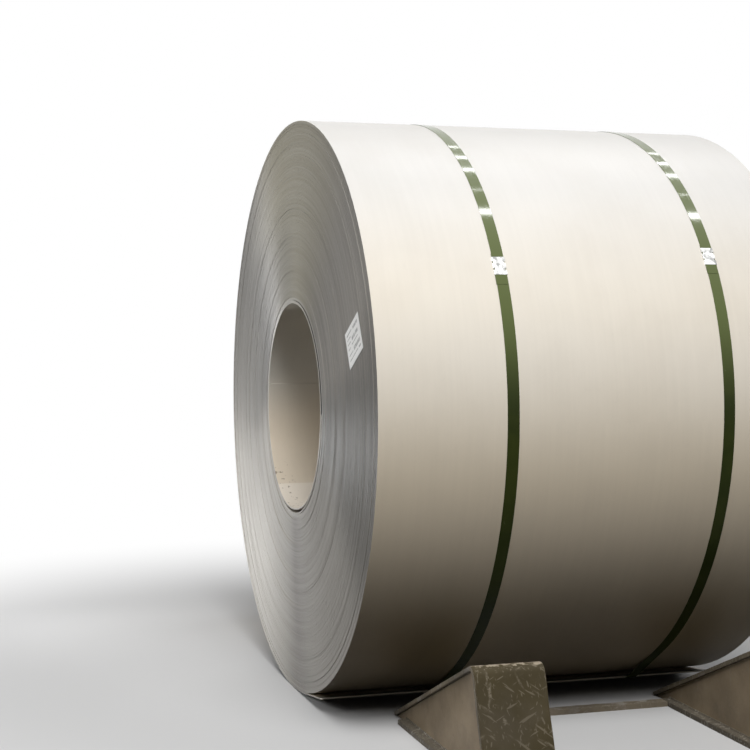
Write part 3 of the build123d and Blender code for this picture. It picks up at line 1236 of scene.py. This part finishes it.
@cache
def weld_tree() -> NodeTree:
    """Geometry tree that lays a rippled weld bead along a path.

    Returns:
        The tree. Its start mesh is the path.
    """
    sockets = {"path": "Geometry", "radius": "Float", "ripple": "Float", "seed": "Int"}
    graph, size, wanted = group_tree("Weld Bead", ("Geometry",), **sockets, material="Material")
    path = graph.call("GeometryNodeMeshToCurve", size.path)
    spots = graph.add("GeometryNodeCurveToPoints", mode="LENGTH", Curve=path, Length=size.ripple)
    points, turned = [Field(graph, spots.outputs[name]) for name in ("Points", "Rotation")]
    drop = graph.call("GeometryNodeMeshIcoSphere", Radius=size.radius, Subdivisions=1)
    limits = {"Min": (0.8, 0.85, 0.8), "Max": (1.2, 1.1, 1.2), "Seed": size.seed}
    spread = graph.call("FunctionNodeRandomValue", data_type="FLOAT_VECTOR", **limits)
    laying = {"Points": points, "Instance": drop, "Rotation": turned, "Scale": spread}
    real = graph.call("GeometryNodeRealizeInstances", graph.call("GeometryNodeInstanceOnPoints", **laying))
    smooth = graph.call("GeometryNodeSetShadeSmooth", real)
    graph.feed(wanted, graph.call("GeometryNodeSetMaterial", Geometry=smooth, Material=size.material))
    return graph.tree


@dataclass
class Chock:
    """A welded chock: a bent cover plate on two end plates, with a runner under each end."""

    row: Row
    side: Side
    x: float
    length: float = 185 * MM
    stand_off: float = 74 * MM
    slope: float = math.radians(25.7)
    lean: float = math.radians(66.0)
    peak: float = 280 * MM
    tip_height: float = 9 * MM
    plate: float = 12 * MM
    bend: float = 27 * MM
    inset: float = 8 * MM
    overhang: float = 19 * MM
    runner_width: float = 36 * MM
    runner_height: float = 14 * MM
    runner_start: float = 92 * MM
    runner_steps: int = 24
    runner_rub: float = 1.2
    runner_drop: float = 0.6
    dent: float = 2.2 * MM
    dent_spacing: float = 18 * MM
    bead: float = 4.2 * MM
    ripple: float = 3.6 * MM
    cover_bevel: float = 1.4 * MM
    end_bevel: float = 0.6 * MM
    runner_bevel: float = 1.2 * MM

    @property
    def tip(self) -> float:
        """Distance of the tip from the middle of the coil."""
        level = (COIL.axis_height - self.tip_height) * math.cos(self.slope)
        return (COIL.radius + self.stand_off - level) / math.sin(self.slope)

    @property
    def peak_out(self) -> float:
        """Distance of the sharp corner over the bend from the middle of the coil."""
        return self.tip + (self.peak - self.tip_height) / math.tan(self.slope)

    def foot(self, inset: float) -> float:
        """Distance of the back line, moved in by inset, from the middle of the coil at the floor."""
        return self.peak_out + self.peak / math.tan(self.lean) - inset / math.sin(self.lean)

    def cover_line(self, inset: float, bend_steps: int = 8) -> list[Point2]:
        """Line of the cover plate, moved in by inset, from the tip over the bend to the foot.

        Args:
            inset: Distance in from the outer face.
            bend_steps: Number of steps round the bend.

        Returns:
            Distance outwards and height of each point.
        """
        radius = self.bend - inset
        sunk = self.bend / math.cos((self.slope + self.lean) / 2)
        towards = (self.lean - self.slope - math.pi) / 2
        centre_out = self.peak_out + sunk * math.cos(towards)
        centre_up = self.peak + sunk * math.sin(towards)
        start_up = self.tip_height - inset / math.cos(self.slope)
        line = [(self.tip - min(start_up, 0.0) / math.tan(self.slope), max(start_up, 0.0))]
        for angle in spaced(math.pi / 2 + self.slope, math.pi / 2 - self.lean, bend_steps):
            line.append((centre_out + radius * math.cos(angle), centre_up + radius * math.sin(angle)))
        return line + [(self.foot(inset), 0.0)]

    def cover_outline(self) -> list[Point2]:
        """Closed outline of the bent plate.

        Returns:
            Distance outwards and height of its corners, with extra ones outside for dents.
        """
        outer = self.cover_line(0)
        dense = []
        for start, end in zip(outer, outer[1:]):
            parts = max(1, round(math.dist(start, end) / self.dent_spacing))
            dense += zip(*[spaced(a, b, parts)[:-1] for a, b in zip(start, end)])
        return dense + outer[-1:] + self.cover_line(self.plate)[::-1]

    def place(self, x: float, out: float, up: float) -> Point3:
        """Row place of a point on this chock."""
        return self.x + x, self.side.value * out, up

    def prism(self, outline: Sequence[Point2], start: float, end: float, rng: random.Random | None) -> Shape:
        """Outline drawn out along the coil.

        Args:
            outline: Distance outwards and height of the corners in order.
            start: Where it starts along the chock.
            end: Where it ends.
            rng: Source of the dents at the corners of the ends, if it has any.

        Returns:
            Vertex places and faces.
        """
        rings = []
        for x, sign in ((start, 1), (end, -1)):
            dents = [sign * self.dent * rng.random() ** 3 if rng else 0.0 for _ in outline]
            rings.append([self.place(x + dent, out, up) for dent, (out, up) in zip(dents, outline)])
        return loft(rings)

    def runner(self, start: float, rng: random.Random) -> Shape:
        """Flat bar on the floor with slightly worn edges.

        Args:
            start: Where it starts along the chock.
            rng: Source of the wear.

        Returns:
            Vertex places and faces.
        """
        end, top, drop = start + self.runner_width, self.runner_height, self.runner_drop
        rings = []
        for out in spaced(self.tip + self.runner_start, self.foot(0), self.runner_steps):
            far, near = [rng.uniform(0, self.runner_rub) * MM for _ in range(2)]
            tops = (end - far, top - far * drop), (start + near, top - near * drop)
            rings.append([self.place(x, out, up) for x, up in ((start, 0.0), (end, 0.0), *tops)])
        return loft(rings)

    def welds(self) -> list[Path]:
        """Paths of the weld beads.

        Returns:
            For both ends, a path under the cover plate and one along the runner.
        """
        along = spaced(self.tip + self.runner_start, self.foot(self.plate), 10)
        foot = [(out, self.runner_height) for out in along]
        cover = [(out, max(up, 5 * MM)) for out, up in self.cover_line(self.plate - 1 * MM, 5)]
        runs = [(x, run) for x in (self.inset, self.length - self.inset) for run in (cover, foot)]
        return [[(Vector(self.place(x, *spot)), Vector((0, 0, 1))) for spot in run] for x, run in runs]

    def build(self) -> Object:
        """Make the chock.

        Returns:
            The chock as one object.
        """
        rng = random.Random(f"{self.row.value}{self.side.value}")
        node = f"chock_{self.side.name.lower()}_{self.row.value}"
        end_plate, bent_plate, plate_edge, runner = [steel.value.build() for steel in Steel]
        cover = self.prism(self.cover_outline(), 0, self.length, rng)
        body = solid(node + "_welded", cover, bent_plate, self.cover_bevel)
        body.data.materials.append(plate_edge)
        for face in body.data.polygons:
            face.material_index = int(abs(face.normal.x) > 0.5)
        inside = self.cover_line(self.plate - 0.2 * MM, 5)
        parts = []
        for start in (self.inset, self.length - self.inset - self.plate):
            shape = self.prism(inside, start, start + self.plate, None)
            parts.append(solid(node + "_end", shape, end_plate, self.end_bevel))
        for start in (-self.overhang, self.length + self.overhang - self.runner_width):
            parts.append(solid(node + "_runner", self.runner(start, rng), runner, self.runner_bevel))
        inputs = {"radius": self.bead, "ripple": self.ripple, "material": runner}
        for seed, path in enumerate(self.welds()):
            line = path_mesh(node + "_weld_path", path)
            parts.append(run_tree(node + "_weld", weld_tree(), line, seed=seed, **inputs))
        join_into(body, *parts)
        return stand_for(body, node, 32)


@dataclass
class Tie:
    """The flat bar between the two chocks of a side."""

    side: Side
    start: float
    end: float
    out: float
    width: float = 35 * MM
    height: float = 14 * MM
    rub: float = 1.1
    steps: int = 30

    def build(self) -> Object:
        """Make the bar.

        Returns:
            The bar as one closed mesh.
        """
        rng = random.Random(self.side.value + 7)
        rings = []
        for x in spaced(self.start, self.end, self.steps):
            worn = self.height - rng.uniform(0, self.rub) * MM
            section = ((0, 0), (self.width, 0), (self.width, self.height), (0, worn))
            rings.append([(x, self.side.value * (self.out + out), up) for out, up in section])
        node = f"tie_{self.side.name.lower()}"
        bar = solid(node + "_bar", loft(rings), Steel.PLATE_EDGE.value.build())
        return stand_for(bar, node, 30)


# Studio


def seen_directly(graph: Graph) -> Field:
    """Mask of what the camera, a mirror or a clear material looks at.

    Args:
        graph: The graph of the surface or surroundings.

    Returns:
        A field that is 1 there and 0 where the surface only gives light.
    """
    path = graph.add("ShaderNodeLightPath")
    rays = [Field(graph, path.outputs[f"Is {kind} Ray"]) for kind in ("Camera", "Glossy", "Transmission")]
    return reduce(Field.most, rays)


@dataclass(frozen=True)
class FloorFinish(Finish):
    """Pale floor that fades to white away from the coil's shadow."""

    name: str = "studio_floor"
    roughness: float = 0.85
    specular: float = 0.0
    grey: Colour = (0.55, 0.55, 0.55)
    glow: Colour = (0.025, 0.021, 0.016)
    fade: Point2 = (1.1, 3.0)

    def paint(self, graph: Graph) -> dict[str, Value]:
        """Grey where it is seen, darker in the light that it gives off, and white far out.

        Args:
            graph: The material's graph.

        Returns:
            The shader's inputs.
        """
        x, y, _ = graph.call("ShaderNodeTexCoord", output="Object").parts()
        far = (x * x + y * y).root().fit(*self.fade)
        seen = seen_directly(graph)
        black, white = (0.0, 0.0, 0.0), (1.0, 1.0, 1.0)
        return {
            "Base_Color": graph.mix(far, graph.mix(seen, self.glow, self.grey), black),
            "Emission_Color": graph.mix(far * seen, black, white),
            "Emission_Strength": 1.0,
        }


@dataclass
class Lamp:
    """A large soft lamp, hidden from the camera: a disc, or a strip where it has a length."""

    name: str
    place: Point3
    size: float
    power: float
    aim: Point3 = (0.0, 0.0, 0.8)
    length: float = 0.0
    spread: float = 180.0
    mirrored: bool = True
    lighting: bool = True

    def build(self) -> None:
        """Hang the lamp. A disc points at its aim and a strip straight down."""
        light = bpy.data.lights.new(self.name, "AREA")
        light.shape = "RECTANGLE" if self.length else "DISK"
        light.size = self.length or self.size
        light.size_y = self.size
        light.energy = self.power
        light.spread = math.radians(self.spread)
        lamp = new_object(self.name, light)
        lamp.location = self.place
        if not self.length:
            direction = Vector(self.aim) - Vector(self.place)
            lamp.rotation_euler = direction.to_track_quat("-Z", "Y").to_euler()
        lamp.visible_camera = False
        lamp.visible_glossy = self.mirrored
        lamp.visible_diffuse = self.lighting


@dataclass
class Studio:
    """Floor, lamps, surrounding light and camera."""

    floor_size: float = 60.0
    surround: float = 0.03
    lens: float = 70.33
    shift: Point2 = (0.0615, 0.0466)
    eye: Point3 = (-1.6782, -4.1872, 1.1039)
    forward: Point3 = (0.27095, 0.96050, -0.06346)
    lamps: tuple[Lamp, ...] = (
        Lamp("key_lamp", (-1.5, -3.7, 5.9), 3.0, 252.0),
        Lamp("side_lamp", (-0.4, -4.0, 4.8), 2.8, 168.0, (0.0, -0.3, 1.0), mirrored=False),
        Lamp("low_lamp", (-1.9, 1.7, 0.5), 0.4, 10.0, (-0.6, 0.45, 0.9), spread=95.0),
        Lamp("end_lamp", (-4.8, -0.6, 2.6), 2.5, 47.0, (-0.6, 0.0, 0.8)),
        Lamp("back_lamp", (0.3, 5.2, 3.2), 2.8, 80.0, mirrored=False),
        Lamp("rear_lamp", (4.8, 1.0, 2.6), 2.5, 60.0, (0.6, 0.0, 0.8)),
    )
    # Row Y and width of the narrow strips over the coil. They light nothing and show only in reflections,
    # mostly in the gloss paint.
    strips: tuple[Point2, ...] = ((-1.05, 0.26), (0.0, 0.03), (1.15, 0.16), (2.1, 0.13), (3.2, 0.06))
    strip_x: float = 2.3
    strip_height: float = 6.0
    strip_length: float = 2.6
    strip_glow: float = 200.0

    def floor(self) -> None:
        """Lay the floor."""
        half = self.floor_size / 2
        corners = [(-half, -half, 0), (half, -half, 0), (half, half, 0), (-half, half, 0)]
        solid("studio_floor", (corners, [(0, 1, 2, 3)]), FloorFinish().build())

    def light(self) -> None:
        """Hang the lamps and set the surrounding light, white to the camera and in reflections."""
        for lamp in self.lamps:
            lamp.build()
        for y, wide in self.strips:
            place = self.strip_x, y, self.strip_height
            power = self.strip_glow * wide
            Lamp("strip_lamp", place, wide, power, length=self.strip_length, lighting=False).build()
        world = bpy.data.worlds.new("studio")
        world.use_nodes = True
        bpy.context.scene.world = world
        graph = Graph(world.node_tree)
        strength = seen_directly(graph) * (1.0 - self.surround) + self.surround
        graph.feed(world.node_tree.nodes["Background"], Color=(1, 1, 1, 1), Strength=strength)

    def camera(self) -> None:
        """Set up the camera at the photograph's place."""
        data = bpy.data.cameras.new("camera")
        data.sensor_width = 36.0
        data.lens = self.lens
        data.shift_x, data.shift_y = self.shift
        data.clip_end = 200.0
        ahead = Vector(self.forward).normalized()
        right = ahead.cross(Vector((0, 0, 1))).normalized()
        turn = Matrix((right, right.cross(ahead), -ahead)).transposed().to_4x4()
        camera = new_object("camera", data)
        camera.matrix_world = Matrix.Translation(self.eye) @ turn
        bpy.context.scene.camera = camera

    def build(self) -> None:
        """Set up everything round the object."""
        self.floor()
        self.light()
        self.camera()
        bpy.context.scene.view_settings.view_transform = "Standard"


# Places of the pieces along the coil

STRAP_INSET = {Row.FRONT: 353 * MM, Row.REAR: 265 * MM}
SEAL_ANGLE = {Row.FRONT: 28.4, Row.REAR: 30.85}
SEAL_SHIFT = 0.75 * MM
CHOCK_INSET = {Row.FRONT: 193 * MM, Row.REAR: 46 * MM + Chock.length}


def along_coil(row: Row, inset: float) -> float:
    """Row X at an inset from the end of the coil that the row is nearer to."""
    return inset - COIL.width / 2 if row is Row.FRONT else COIL.width / 2 - inset


def main() -> None:
    """Build the pieces in order, report them and set up the studio."""
    logging.basicConfig(level=logging.INFO, format="%(name)s %(message)s")
    pieces = [WoundCoil().build()]
    for row in Row:
        x = along_coil(row, STRAP_INSET[row])
        pieces.append(Strap(row, x, SEAL_ANGLE[row]).build())
        pieces.append(Seal(row, x - SEAL_SHIFT, SEAL_ANGLE[row]).build())
    pieces.append(PaperLabel().build())
    for side in Side:
        front, rear = [Chock(row, side, along_coil(row, CHOCK_INSET[row])) for row in Row]
        start = front.x + front.length + front.overhang
        tie = Tie(side, start, rear.x - rear.overhang, front.tip + front.runner_start)
        pieces += [front.build(), rear.build(), tie.build()]
    for piece in pieces:
        LOG.info("%s: %d faces", piece.name, len(piece.data.polygons))
    Studio().build()


if __name__ == "__main__":
    main()
